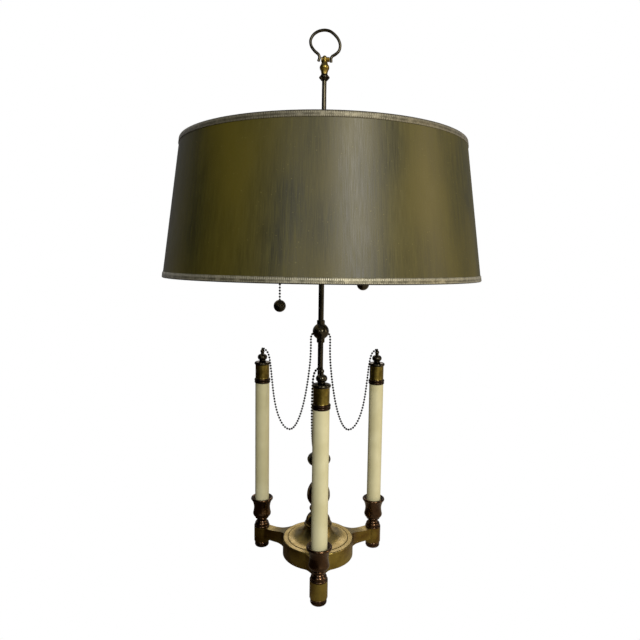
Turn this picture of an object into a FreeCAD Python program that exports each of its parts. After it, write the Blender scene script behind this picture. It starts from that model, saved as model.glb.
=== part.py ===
import FreeCAD, Part
import math
import os
import re

import Sketcher

# A bouillotte lamp: three dummy candles with chained snuffer caps stand on a
# three-armed cast base, and a drum shade rides on the rod above them.
# Lengths are millimetres. The lamp's axis is Z and its feet stand on Z = 0.
# The front candle is towards -Y.

document = FreeCAD.newDocument("bouillotte_lamp")
sheet = document.addObject("Spreadsheet::Sheet", "Sizes")

SIZES = {
    # base casting
    "disc_radius": 54.7,
    "skirt_bottom": 16.0,
    "skirt_height": 26.0,
    "skirt_wall": 5.0,
    "web_thickness": 6.0,
    "rim_round": 1.8,
    "arm_reach": 106.3,
    "arm_half_width": 7.8,
    "arm_fillet": 28.0,
    "arm_cusp_angle": 20.0,
    "arm_sweep_end": 85.0,
    "boss_radius": 12.6,
    "boss_bottom": 9.0,
    "boss_height": 24.5,
    "rod_hole_radius": 4.4,
    "nut_pad_radius": 12.0,
    "foot_radius": 11.7,
    "foot_spigot_radius": 10.6,
    # candles and their cups
    "cup_height": 49.5,
    "cup_rim_radius": 18.0,
    "cup_neck_radius": 13.1,
    "cup_bulge_radius": 14.6,
    "cup_waist_radius": 8.0,
    "cup_dome_radius": 12.4,
    "candle_radius": 11.3,
    "candle_clearance": 0.2,
    "candle_socket_depth": 14.0,
    "candle_shoulder": 274.0,
    "candle_spigot_radius": 9.4,
    "candle_spigot_height": 26.0,
    # snuffer caps
    "cap_gap": 0.3,
    "cap_skirt_radius": 11.1,
    "cap_skirt_height": 29.5,
    "cap_ring_radius": 12.8,
    "cap_wall": 1.4,
    "cap_flange_radius": 12.7,
    "cap_bead_radius": 7.7,
    "cap_knob_radius": 3.4,
    "cap_tip_radius": 1.8,
    "cap_finial_height": 27.5,
    # column
    "bore_radius": 4.3,
    "flare_radius": 46.9,
    "flare_seat_depth": 1.6,
    "flare_height": 21.6,
    "flare_neck_radius": 20.4,
    "bell_height": 20.5,
    "bell_radius": 21.6,
    "bell_top_radius": 12.8,
    "ring_height": 11.5,
    "ring_radius": 13.8,
    "vase_height": 42.0,
    "vase_radius": 17.8,
    "vase_top_radius": 7.4,
    "neck_height": 21.0,
    "neck_radius": 6.2,
    "knop_height": 20.0,
    "knop_radius": 18.0,
    "stem_radius": 4.15,
    "stem_bore_radius": 2.6,
    "stem_bottom": 25.0,
    "stem_top": 484.0,
    "chain_ball_height": 365.4,
    "chain_ball_radius": 12.3,
    "ball_collar_radius": 6.0,
    "ball_collar_reach": 17.0,
    "eye_radius": 1.7,
    "eye_reach": 15.6,
    "eye_droop": 20.0,
    # fastening and cord entry under the base
    "washer_radius": 10.5,
    "washer_thickness": 1.6,
    "nut_flats": 13.0,
    "nut_height": 5.0,
    "bushing_height": 24.0,
    "bushing_radius": 5.0,
    "bushing_flange_radius": 6.6,
    "bushing_bore_radius": 2.6,
    "bushing_depth": 8.5,
    "bushing_flange": 1.5,
    "bushing_proud": 0.6,
    "lead_radius": 1.6,
    # lamp sockets under the shade
    "cluster_height": 46.0,
    "cluster_radius": 15.0,
    "nipple_radius": 5.0,
    "socket_cap_start": 42.0,
    "socket_cap_length": 28.0,
    "socket_cap_radius": 17.0,
    "socket_shell_length": 35.0,
    "socket_shell_radius": 16.3,
    "socket_shell_wall": 1.2,
    "bulb_base_radius": 13.2,
    "bulb_base_length": 33.0,
    "bulb_neck_radius": 14.0,
    "bulb_radius": 30.0,
    "bulb_length": 84.0,
    "guide_reach": 62.0,
    "guide_radius": 3.2,
    "guide_mouth_radius": 4.4,
    "guide_drop": 28.0,
    "guide_bore_radius": 1.9,
    # pull chains and snuffer chains
    "chain_radius": 1.6,
    "pull_ball_radius": 9.2,
    "pull_ball_left_height": 403.0,
    "pull_ball_right_height": 437.0,
    # upper rod, carrier and shade
    "rod_radius": 3.35,
    "rod_top": 728.0,
    "carrier_bottom": 606.0,
    "carrier_height": 19.0,
    "carrier_radius": 7.0,
    "carrier_flange_radius": 10.0,
    "carrier_flange_height": 3.0,
    "carrier_neck_radius": 5.2,
    "carrier_neck_height": 11.0,
    "running_clearance": 0.05,
    "screw_height": 10.0,
    "screw_radius": 1.6,
    "screw_tip_gap": 0.3,
    "screw_head_radius": 5.5,
    "screw_head_start": 12.0,
    "screw_head_length": 8.0,
    "hub_gap": 0.3,
    "hub_radius": 9.0,
    "hub_height": 6.0,
    "wire_radius": 1.7,
    "shade_bottom": 446.4,
    "shade_top": 635.5,
    "shade_bottom_radius": 228.6,
    "shade_top_radius": 203.2,
    "shade_wall": 1.4,
    "trim_height": 7.0,
    "trim_thickness": 0.9,
    # finial
    "collar_height": 9.0,
    "collar_radius": 7.7,
    "baluster_height": 25.8,
    "baluster_radius": 7.0,
    "baluster_neck_radius": 4.1,
    "yoke_height": 757.5,
    "yoke_radius": 3.3,
    "yoke_left": 5.0,
    "yoke_right": 7.0,
    "loop_wire_radius": 2.1,
}

for row, (alias, size) in enumerate(SIZES.items(), start=1):
    sheet.set(f"A{row}", alias)
    sheet.set(f"B{row}", str(size))
    sheet.setAlias(f"B{row}", alias)
document.recompute()

# Angles of the three candle arms seen from above, in degrees from +X.
ARMS = {"front": -90, "right": 30, "left": 150}
# Directions of the two lamp sockets along X.
SIDES = {"left": -1, "right": 1}


def bound(expression):
    """Point each size name in an expression at the sheet."""
    def with_sheet(match):
        word = match.group(0)
        return "Sizes." + word if word in SIZES else word
    return re.sub(r"[a-z_]+", with_sheet, expression)


def number(expression):
    """Give the value that an expression of sizes has now."""
    return float(sheet.evalExpression(bound(expression)))


def new_body(label):
    body = document.addObject("PartDesign::Body", label)
    body.Label = label
    return body


def plane_of(body, role):
    for feature in body.Origin.OriginFeatures:
        if feature.Role == role:
            return feature
    raise ValueError(role)


def place(shape_object, x="0", y="0", z="0", axis=None, angle=0):
    """Put a sub-part at a place given by expressions of sizes."""
    if axis is not None:
        shape_object.Placement.Rotation = FreeCAD.Rotation(FreeCAD.Vector(*axis), angle)
    for letter, expression in zip("xyz", (x, y, z)):
        shape_object.setExpression("Placement.Base." + letter, bound(expression))


def draw_outline(body, name, role, outline):
    """Draw a closed outline from a list of corners, each corner a pair of
    expressions. A corner with two pairs is reached by an arc through the first."""
    sketch = body.newObject("Sketcher::SketchObject", name)
    sketch.AttachmentSupport = [(plane_of(body, role), "")]
    sketch.MapMode = "FlatFace"
    corners = [corner[-1] if isinstance(corner[0], tuple) else corner for corner in outline]
    places = [FreeCAD.Vector(number(u), number(v), 0) for u, v in corners]
    middles = {}
    for index, corner in enumerate(outline):
        start = places[index - 1]
        end = places[index]
        if isinstance(corner[0], tuple):
            through = FreeCAD.Vector(number(corner[0][0]), number(corner[0][1]), 0)
            sketch.addGeometry(Part.Arc(start, through, end), False)
            middles[index] = (corner[0], through)
        else:
            sketch.addGeometry(Part.LineSegment(start, end), False)
    ends = []
    for index in range(len(outline)):
        ends.append(end_of_piece(sketch, index, places[index]))
    for index in range(len(outline)):
        following = (index + 1) % len(outline)
        start = 3 - end_of_piece(sketch, following, places[following])
        sketch.addConstraint(Sketcher.Constraint("Coincident", index, ends[index], following, start))
    for index, (u, v) in enumerate(corners):
        fix_point(sketch, index, ends[index], u, v, places[index])
    for index, ((u, v), through) in middles.items():
        point = sketch.addGeometry(Part.Point(through), True)
        fix_point(sketch, point, 1, u, v, through)
        sketch.addConstraint(Sketcher.Constraint("PointOnObject", point, 1, index))
    return sketch


def end_of_piece(sketch, index, place_of_end):
    """Tell whether a line or arc ends at its first or its second vertex."""
    second = sketch.getPoint(index, 2)
    return 2 if second.distanceToPoint(place_of_end) < 1e-6 else 1


def fix_point(sketch, piece, vertex, u, v, at):
    """Dimension a sketch point from the origin with two bound distances."""
    for kind, expression, value in (("DistanceX", u, at.x), ("DistanceY", v, at.y)):
        item = sketch.addConstraint(Sketcher.Constraint(kind, -1, 1, piece, vertex, value))
        if expression.strip() != "0":
            sketch.setExpression(f"Constraints[{item}]", bound(expression))


def revolve(body, name, outline, cut=False):
    """Turn an outline of (radius, height) corners about the body's Z axis."""
    sketch = draw_outline(body, name + "_outline", "XZ_Plane", outline)
    kind = "PartDesign::Groove" if cut else "PartDesign::Revolution"
    feature = body.newObject(kind, name)
    feature.Profile = sketch
    feature.ReferenceAxis = (sketch, ["V_Axis"])
    feature.Angle = 360
    return feature


def turned(label, outline, **where):
    """Make a lathe-turned sub-part and put it in its place."""
    body = new_body(label)
    revolve(body, label + "_turning", outline)
    place(body, **where)
    return body


def at_arm(angle):
    """Give the place of a candle's axis on its arm as two expressions."""
    return {"x": f"arm_reach * cos({angle})", "y": f"arm_reach * sin({angle})"}


def flat_ring(inner, outer, bottom, top):
    """Outline of a plain ring of rectangular section."""
    return [(inner, bottom), (outer, bottom), (outer, top), (inner, top)]


# Base casting: a skirted disc with three arms that end in round bosses.
SKIRT_TOP = "skirt_bottom + skirt_height"
WEB_UNDERSIDE = SKIRT_TOP + " - flare_seat_depth - web_thickness"
BOSS_TOP = "boss_bottom + boss_height"


def arm_point(angle, along, across):
    """Turn a point given along and across an arm into plan expressions."""
    return (f"({along}) * cos({angle}) - ({across}) * sin({angle})",
            f"({along}) * sin({angle}) + ({across}) * cos({angle})")


def arm_outline(angle):
    """Corners of one arm, anticlockwise, from its right cusp to its left one."""
    cusp_along = "disc_radius * cos(arm_cusp_angle)"
    cusp_across = "disc_radius * sin(arm_cusp_angle)"
    rise = f"({cusp_across} - arm_half_width)"
    run = f"sqrt(arm_fillet^2 - (arm_fillet - {rise})^2)"
    tangent_along = f"({cusp_along} + {run})"
    middle_turn = f"(asin({run} / arm_fillet) / 2)"
    middle_along = f"({tangent_along} - arm_fillet * sin{middle_turn})"
    middle_across = f"(arm_half_width + arm_fillet * (1 - cos{middle_turn}))"
    return [
        (arm_point(angle, middle_along, "-" + middle_across),
         arm_point(angle, tangent_along, "-arm_half_width")),
        arm_point(angle, "arm_reach", "-arm_half_width"),
        arm_point(angle, "arm_reach", "arm_half_width"),
        arm_point(angle, tangent_along, "arm_half_width"),
        (arm_point(angle, middle_along, middle_across),
         arm_point(angle, cusp_along, cusp_across)),
    ]


def make_base_casting():
    body = new_body("base_casting")
    outline = []
    angles = sorted(ARMS.values())
    for index, angle in enumerate(angles):
        following = angles[(index + 1) % len(angles)]
        outline += arm_outline(angle)
        between = angle + 60
        outline.append((
            (f"disc_radius * cos({between})", f"disc_radius * sin({between})"),
            (f"disc_radius * cos({following} - arm_cusp_angle)",
             f"disc_radius * sin({following} - arm_cusp_angle)")))
    plan = draw_outline(body, "base_plan", "XY_Plane", outline)
    plan.setExpression("AttachmentOffset.Base.z", bound("skirt_bottom"))
    slab = body.newObject("PartDesign::Pad", "base_slab")
    slab.Profile = plan
    slab.setExpression("Length", bound("skirt_height"))

    bosses = body.newObject("Sketcher::SketchObject", "boss_circles")
    bosses.AttachmentSupport = [(plane_of(body, "XY_Plane"), "")]
    bosses.MapMode = "FlatFace"
    bosses.setExpression("AttachmentOffset.Base.z", bound("boss_bottom"))
    for index, angle in enumerate(ARMS.values()):
        x = f"arm_reach * cos({angle})"
        y = f"arm_reach * sin({angle})"
        centre = FreeCAD.Vector(number(x), number(y), 0)
        circle = Part.Circle(centre, FreeCAD.Vector(0, 0, 1), number("boss_radius"))
        item = bosses.addGeometry(circle, False)
        fix_point(bosses, item, 3, x, y, centre)
        radius = bosses.addConstraint(Sketcher.Constraint("Radius", item, number("boss_radius")))
        bosses.setExpression(f"Constraints[{radius}]", bound("boss_radius"))
    boss_pad = body.newObject("PartDesign::Pad", "bosses")
    boss_pad.Profile = bosses
    boss_pad.setExpression("Length", bound(SKIRT_TOP + " - boss_bottom"))

    # The arms' tops sweep down from the disc's rounded rim to the bosses.
    beyond = "arm_reach + 2 * boss_radius"
    above = SKIRT_TOP + " + 1"
    revolve(body, "arm_sweep", [
        ("disc_radius - rim_round", SKIRT_TOP),
        (("disc_radius - 0.3 * rim_round", SKIRT_TOP + " - 0.3 * rim_round"),
         ("disc_radius + 0.05 * rim_round", SKIRT_TOP + " - rim_round")),
        (("disc_radius + 0.37 * (arm_sweep_end - disc_radius)",
          BOSS_TOP + f" + 0.34 * ({SKIRT_TOP} - ({BOSS_TOP}))"),
         ("arm_sweep_end", BOSS_TOP)),
        (beyond, BOSS_TOP),
        (beyond, above),
        ("disc_radius - rim_round", above),
    ], cut=True)
    # The flared foot of the column drops into a shallow seat in the disc.
    revolve(body, "flare_seat", flat_ring(
        "0", "flare_radius + 2 * candle_clearance", SKIRT_TOP + " - flare_seat_depth", above), cut=True)
    # The underside is hollow round a pad that takes the nut.
    revolve(body, "hollow", flat_ring(
        "nut_pad_radius", "disc_radius - skirt_wall", "skirt_bottom - 1", WEB_UNDERSIDE), cut=True)
    revolve(body, "nut_recess", flat_ring(
        "0", "nut_pad_radius", "skirt_bottom - 1", WEB_UNDERSIDE), cut=True)
    revolve(body, "rod_hole", flat_ring("0", "rod_hole_radius", "skirt_bottom - 1", above), cut=True)

    cord_hole = body.newObject("Sketcher::SketchObject", "cord_hole_circle")
    cord_hole.AttachmentSupport = [(plane_of(body, "XZ_Plane"), "")]
    cord_hole.MapMode = "FlatFace"
    centre = FreeCAD.Vector(0, number("bushing_height"), 0)
    circle = Part.Circle(centre, FreeCAD.Vector(0, 0, 1), number("bushing_radius"))
    cord_hole.addGeometry(circle, False)
    fix_point(cord_hole, 0, 3, "0", "bushing_height", centre)
    radius = cord_hole.addConstraint(Sketcher.Constraint("Radius", 0, number("bushing_radius")))
    cord_hole.setExpression(f"Constraints[{radius}]", bound("bushing_radius"))
    document.recompute()
    before = body.Shape.Volume
    drilled = body.newObject("PartDesign::Pocket", "cord_hole")
    drilled.Profile = cord_hole
    drilled.setExpression("Length", bound("disc_radius + 5"))
    document.recompute()
    probe = FreeCAD.Vector(0, number("disc_radius - skirt_wall / 2"), number("bushing_height"))
    if body.Shape.isInside(probe, 1e-3, True):
        drilled.Reversed = True
        document.recompute()
    if not body.Shape.Volume < before:
        raise ValueError("the cord hole cuts nothing")
    return body


make_base_casting()

# Foot rings: short turned feet that plug into the bosses.
FOOT_OUTLINE = [
    ("0", "0"),
    ("foot_radius - 1.6", "0"),
    (("foot_radius - 0.3", "0.2 * boss_bottom"), ("foot_radius - 0.3", "0.42 * boss_bottom")),
    ("foot_radius - 1.2", "0.5 * boss_bottom"),
    (("foot_radius", "0.7 * boss_bottom"), ("foot_spigot_radius", "boss_bottom")),
    ("0", "boss_bottom"),
]
for side, angle in ARMS.items():
    turned("foot_ring_" + side, FOOT_OUTLINE, **at_arm(angle))

# Candle cups: a stepped dome, a waist with a fine bead, a swollen body and a
# flared lip that catches drips. The candle stands in the bore.
CUP_BORE = "candle_radius + candle_clearance"
CUP_OUTLINE = [
    ("0", "0"),
    ("cup_dome_radius - 0.6", "0"),
    (("cup_dome_radius + 0.2", "1.2"), ("cup_dome_radius - 0.6", "2.4")),
    ("cup_dome_radius - 1.2", "3"),
    (("0.88 * cup_dome_radius", "6.4"), ("cup_waist_radius + 0.6", "8.8")),
    ("cup_waist_radius", "10"),
    ("cup_waist_radius", "12"),
    ("cup_waist_radius + 2", "14.4"),
    (("cup_waist_radius + 3.1", "15.2"), ("cup_waist_radius + 2.3", "16.2")),
    (("cup_bulge_radius - 0.7", "19.4"), ("cup_bulge_radius", "23")),
    (("cup_neck_radius + 0.5", "27.5"), ("cup_neck_radius", "34")),
    (("cup_neck_radius + 1.2", "39.6"), ("cup_rim_radius - 1.6", "0.91 * cup_height")),
    (("cup_rim_radius", "cup_height - 2.2"), ("cup_rim_radius - 1.8", "cup_height")),
    ("cup_rim_radius - 3.2", "cup_height - 0.8"),
    (CUP_BORE, "cup_height - 4.5"),
    (CUP_BORE, "cup_height - 4.5 - candle_socket_depth"),
    ("0", "cup_height - 4.5 - candle_socket_depth"),
]
CANDLE_BASE = BOSS_TOP + " + cup_height - 4.5 - candle_socket_depth"
CAP_BASE = "candle_shoulder + cap_gap"
for side, angle in ARMS.items():
    turned("candle_cup_" + side, CUP_OUTLINE, z=BOSS_TOP, **at_arm(angle))

# Dummy candles, with a narrower top that the snuffer cap slips over.
CANDLE_HEIGHT = f"candle_shoulder - ({CANDLE_BASE})"
CANDLE_OUTLINE = [
    ("0", "0"),
    ("candle_radius", "0"),
    ("candle_radius", CANDLE_HEIGHT + " - 0.5"),
    ("candle_radius - 0.5", CANDLE_HEIGHT),
    ("candle_spigot_radius", CANDLE_HEIGHT),
    ("candle_spigot_radius", CANDLE_HEIGHT + " + candle_spigot_height - 2"),
    ("candle_spigot_radius - 2", CANDLE_HEIGHT + " + candle_spigot_height"),
    ("0", CANDLE_HEIGHT + " + candle_spigot_height"),
]
for side, angle in ARMS.items():
    turned("candle_" + side, CANDLE_OUTLINE, z=CANDLE_BASE, **at_arm(angle))

# Snuffer caps: a sleeve with a double ring at its mouth, closed by a turned
# finial whose tip holds the chain.
CAP_BORE = "cap_skirt_radius - cap_wall"
SLEEVE_OUTLINE = [
    (CAP_BORE, "0"),
    ("cap_ring_radius - 1.2", "0"),
    (("cap_ring_radius - 0.2", "1.8"), ("cap_ring_radius - 0.8", "3.5")),
    (("cap_ring_radius", "5.4"), ("cap_skirt_radius + 0.3", "7.6")),
    ("cap_skirt_radius", "8.4"),
    ("cap_skirt_radius", "cap_skirt_height"),
    (CAP_BORE, "cap_skirt_height"),
]
CAP_FINIAL_OUTLINE = [
    ("0", "0"),
    ("cap_skirt_radius", "0"),
    (("cap_flange_radius", "2.4"), ("cap_flange_radius - 1.9", "4.9")),
    ("0.43 * cap_skirt_radius", "6.6"),
    ("0.43 * cap_skirt_radius", "7.6"),
    (("cap_bead_radius", "12.4"), ("0.36 * cap_bead_radius", "17.2")),
    ("0.36 * cap_bead_radius", "19.8"),
    (("cap_knob_radius", "22.4"), ("cap_tip_radius", "24.6")),
    ("cap_tip_radius", "cap_finial_height - 1"),
    ("cap_tip_radius - 1", "cap_finial_height"),
    ("0", "cap_finial_height"),
]
for side, angle in ARMS.items():
    turned("snuffer_sleeve_" + side, SLEEVE_OUTLINE, z=CAP_BASE, **at_arm(angle))
    turned("snuffer_finial_" + side, CAP_FINIAL_OUTLINE, z=CAP_BASE + " + cap_skirt_height", **at_arm(angle))

# Column: turned pieces threaded on the stem and clamped by the nut below.
FLARE_BASE = SKIRT_TOP + " - flare_seat_depth"
BELL_BASE = FLARE_BASE + " + flare_height"
RING_BASE = BELL_BASE + " + bell_height"
VASE_BASE = RING_BASE + " + ring_height"
NECK_BASE = VASE_BASE + " + vase_height"
KNOP_BASE = NECK_BASE + " + neck_height"

turned("column_flare", [
    ("bore_radius", "0"),
    ("flare_radius", "0"),
    ("flare_radius", "flare_seat_depth - 0.5"),
    ("flare_radius - 1", "flare_seat_depth + 0.4"),
    (("0.62 * flare_radius", "0.33 * flare_height"), ("flare_neck_radius", "flare_height - 2.4")),
    ("flare_neck_radius", "flare_height"),
    ("bore_radius", "flare_height"),
], z=FLARE_BASE)
turned("bell_cap", [
    ("bore_radius", "0"),
    ("bell_radius - 1.1", "0"),
    (("bell_radius", "1.6"), ("bell_radius - 1.1", "3.2")),
    ("bell_radius - 2.2", "4"),
    (("bell_top_radius + 4.6", "0.6 * bell_height"), ("bell_top_radius + 1.2", "0.82 * bell_height")),
    ("bell_top_radius", "0.86 * bell_height"),
    ("bell_top_radius - 1.4", "bell_height"),
    ("bore_radius", "bell_height"),
], z=BELL_BASE)
turned("column_ring", [
    ("bore_radius", "0"),
    ("0.72 * ring_radius", "0"),
    ("0.72 * ring_radius", "0.14 * ring_height"),
    (("ring_radius", "0.5 * ring_height"), ("0.72 * ring_radius", "0.86 * ring_height")),
    ("0.72 * ring_radius", "ring_height"),
    ("bore_radius", "ring_height"),
], z=RING_BASE)
turned("column_vase", [
    ("bore_radius", "0"),
    ("0.6 * vase_radius", "0"),
    ("0.66 * vase_radius", "1.6"),
    (("0.92 * vase_radius", "0.19 * vase_height"), ("vase_radius", "0.4 * vase_height")),
    (("0.87 * vase_radius", "0.66 * vase_height"), ("vase_top_radius + 1", "0.9 * vase_height")),
    ("vase_top_radius", "0.93 * vase_height"),
    ("vase_top_radius", "vase_height"),
    ("bore_radius", "vase_height"),
], z=VASE_BASE)
turned("column_neck", [
    ("bore_radius", "0"),
    ("neck_radius + 2.2", "0"),
    (("neck_radius + 3", "1.5"), ("neck_radius + 2.2", "3")),
    ("neck_radius + 0.8", "3.6"),
    (("neck_radius - 0.3", "0.55 * neck_height"), ("neck_radius + 1", "neck_height - 1.5")),
    ("neck_radius + 1.8", "neck_height"),
    ("bore_radius", "neck_height"),
], z=NECK_BASE)
turned("column_knop", [
    ("bore_radius", "0"),
    ("0.42 * knop_radius", "0"),
    (("0.86 * knop_radius", "0.2 * knop_height"), ("knop_radius", "0.5 * knop_height")),
    (("0.86 * knop_radius", "0.8 * knop_height"), ("0.42 * knop_radius", "0.97 * knop_height")),
    ("0.3 * knop_radius", "knop_height"),
    ("bore_radius", "knop_height"),
], z=KNOP_BASE)
turned("stem_tube", flat_ring("stem_bore_radius", "stem_radius", "stem_bottom", "stem_top"))


def make_chain_ball():
    """Ball on the stem, with three drooping eyes that hold the chains."""
    body = new_body("chain_ball")
    ball_bore = "stem_radius + running_clearance"
    collar_start = "sqrt(chain_ball_radius^2 - ball_collar_radius^2)"
    revolve(body, "ball_turning", [
        (ball_bore, "-ball_collar_reach"),
        ("ball_collar_radius - 0.6", "-ball_collar_reach"),
        ("ball_collar_radius", "-ball_collar_reach + 0.8"),
        ("ball_collar_radius", "-" + collar_start),
        (("chain_ball_radius", "0"), ("ball_collar_radius", collar_start)),
        ("ball_collar_radius", "ball_collar_reach - 0.8"),
        ("ball_collar_radius - 0.6", "ball_collar_reach"),
        (ball_bore, "ball_collar_reach"),
    ])
    inner = "(chain_ball_radius - 2)"
    eye = body.newObject("Sketcher::SketchObject", "eye_outline")
    eye.AttachmentSupport = [(plane_of(body, "XZ_Plane"), "")]
    eye.MapMode = "FlatFace"

    def along_eye(reach, across):
        return (f"{reach} * cos(eye_droop) + ({across}) * sin(eye_droop)",
                f"-({reach} * sin(eye_droop)) + ({across}) * cos(eye_droop)")
    corners = [along_eye(inner, "0"), along_eye("eye_reach", "0"),
               along_eye("eye_reach", "eye_radius"), along_eye(inner, "eye_radius")]
    places = [FreeCAD.Vector(number(u), number(v), 0) for u, v in corners]
    for index in range(4):
        eye.addGeometry(Part.LineSegment(places[index], places[(index + 1) % 4]), False)
    for index in range(4):
        eye.addConstraint(Sketcher.Constraint("Coincident", index, 2, (index + 1) % 4, 1))
    for index, (u, v) in enumerate(corners):
        fix_point(eye, index, 1, u, v, places[index])
    peg = body.newObject("PartDesign::Revolution", "eye")
    peg.Profile = eye
    peg.ReferenceAxis = (eye, ["Edge1"])
    peg.Angle = 360
    document.recompute()
    ring = body.newObject("PartDesign::PolarPattern", "eyes")
    ring.Originals = [peg]
    ring.Axis = (plane_of(body, "Z_Axis"), [""])
    ring.Angle = 360
    ring.Occurrences = 3
    body.Tip = ring
    place(body, z="chain_ball_height", axis=(0, 0, 1), angle=ARMS["right"])


make_chain_ball()

# Washer and nut that clamp the column from below.
WASHER_BASE = WEB_UNDERSIDE + " - washer_thickness"
turned("base_washer", flat_ring("rod_hole_radius", "washer_radius", "0", "washer_thickness"), z=WASHER_BASE)


def make_nut():
    body = new_body("base_nut")
    hexagon = [(f"nut_flats / sqrt(3) * cos({60 * turn})", f"nut_flats / sqrt(3) * sin({60 * turn})")
               for turn in range(6)]
    sketch = draw_outline(body, "nut_hexagon", "XY_Plane", hexagon)
    pad = body.newObject("PartDesign::Pad", "nut_blank")
    pad.Profile = sketch
    pad.setExpression("Length", bound("nut_height"))
    revolve(body, "nut_bore", flat_ring("0", "stem_radius + running_clearance", "-1", "nut_height + 1"), cut=True)
    place(body, z=WASHER_BASE + " - nut_height")


make_nut()

# Bushing in the back of the skirt, where a mains lead enters.
turned("cord_bushing", [
    ("bushing_bore_radius", "0"),
    ("bushing_radius", "0"),
    ("bushing_radius", "bushing_depth - bushing_flange"),
    ("bushing_flange_radius", "bushing_depth - bushing_flange"),
    ("bushing_flange_radius", "bushing_depth - 0.4"),
    ("bushing_flange_radius - 0.4", "bushing_depth"),
    ("bushing_bore_radius", "bushing_depth"),
], y="disc_radius - bushing_depth + bushing_flange + bushing_proud", z="bushing_height", axis=(1, 0, 0), angle=-90)

# Cluster: a turned body with two nipples that carry the lamp sockets.
SOCKET_AXIS = "stem_top + cluster_height / 2"
GUIDE_BOTTOM = SOCKET_AXIS + " - guide_drop"
turned("cluster_body", [
    ("0", "0"),
    ("0.5 * cluster_radius", "0"),
    (("0.62 * cluster_radius", "2"), ("0.5 * cluster_radius", "4")),
    (("0.86 * cluster_radius", "8"), ("cluster_radius", "0.3 * cluster_height")),
    ("cluster_radius", "0.7 * cluster_height"),
    (("0.84 * cluster_radius", "0.86 * cluster_height"), ("0.5 * cluster_radius", "0.94 * cluster_height")),
    ("0.42 * cluster_radius", "cluster_height"),
    ("0", "cluster_height"),
], z="stem_top")


def make_nipple(side, sign):
    """Short tube from the cluster to one socket."""
    turned("socket_nipple_" + side, flat_ring("0", "nipple_radius", "cluster_radius", "socket_cap_start"),
           z=SOCKET_AXIS, axis=(0, 1, 0), angle=90 * sign)


def make_socket(side, sign):
    """Pull-chain socket with its lamp, lying along X on one side."""
    lying = {"z": SOCKET_AXIS, "axis": (0, 1, 0), "angle": 90 * sign}
    cap_end = "socket_cap_start + socket_cap_length"
    turned("socket_cap_" + side, [
        ("0", "socket_cap_start"),
        ("0.55 * socket_cap_radius", "socket_cap_start"),
        (("0.9 * socket_cap_radius", "socket_cap_start + 0.14 * socket_cap_length"),
         ("socket_cap_radius", "socket_cap_start + 0.4 * socket_cap_length")),
        ("socket_cap_radius", cap_end),
        ("0", cap_end),
    ], **lying)
    shell_end = cap_end + " + socket_shell_length"
    turned("socket_shell_" + side, [
        ("socket_shell_radius - socket_shell_wall", cap_end),
        ("socket_shell_radius", cap_end),
        ("socket_shell_radius", shell_end + " - 2"),
        (("socket_shell_radius + 0.9", shell_end + " - 1"), ("socket_shell_radius", shell_end)),
        ("socket_shell_radius - socket_shell_wall", shell_end),
    ], **lying)
    bulb_start = cap_end + " + bulb_base_length"
    turned("bulb_base_" + side, [
        ("0", cap_end),
        ("0.4 * bulb_base_radius", cap_end),
        ("bulb_base_radius", cap_end + " + 0.25 * bulb_base_length"),
        ("bulb_base_radius", bulb_start),
        ("0", bulb_start),
    ], **lying)
    turned("bulb_glass_" + side, [
        ("0", bulb_start),
        ("bulb_neck_radius - 0.6", bulb_start),
        ("bulb_neck_radius", bulb_start + " + 3"),
        (("0.72 * bulb_radius", bulb_start + " + 0.3 * bulb_length"),
         ("bulb_radius", bulb_start + " + bulb_length - bulb_radius")),
        (("bulb_radius * cos(45)", bulb_start + " + bulb_length - bulb_radius * (1 - sin(45))"),
         ("0", bulb_start + " + bulb_length")),
    ], **lying)


def make_guide(side, sign):
    """Bell-mouthed guide that the pull chain runs through."""
    seat = "guide_drop - socket_cap_radius"
    turned("chain_guide_" + side, [
        ("guide_bore_radius", "0"),
        ("guide_mouth_radius", "0"),
        (("guide_radius + 0.4", "1.2"), ("guide_radius", "3.4")),
        ("guide_radius", seat),
        ("guide_bore_radius", seat),
    ], x=f"{sign} * guide_reach", z=GUIDE_BOTTOM)


for side, sign in SIDES.items():
    make_nipple(side, sign)
    make_socket(side, sign)
    make_guide(side, sign)

# Pull chains hang through the guides and end in turned balls.
CHAIN_TOP = GUIDE_BOTTOM + " + 10.5"
for side, sign in SIDES.items():
    ball_height = f"pull_ball_{side}_height"
    beside = {"x": f"{sign} * guide_reach"}
    turned("pull_chain_" + side, flat_ring(
        "0", "chain_radius", ball_height + " + pull_ball_radius", CHAIN_TOP), **beside)
    turned("pull_ball_" + side, [
        ("0", "-pull_ball_radius"),
        (("pull_ball_radius", "0"), ("0.2 * pull_ball_radius", "sqrt(1 - 0.2^2) * pull_ball_radius")),
        ("0.2 * pull_ball_radius", "pull_ball_radius"),
        ("0", "pull_ball_radius"),
    ], z=ball_height, **beside)

# Upper rod and the carrier that is clamped on it under the shade.
turned("upper_rod", flat_ring("0", "rod_radius", "stem_top + cluster_height", "rod_top"))


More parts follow.
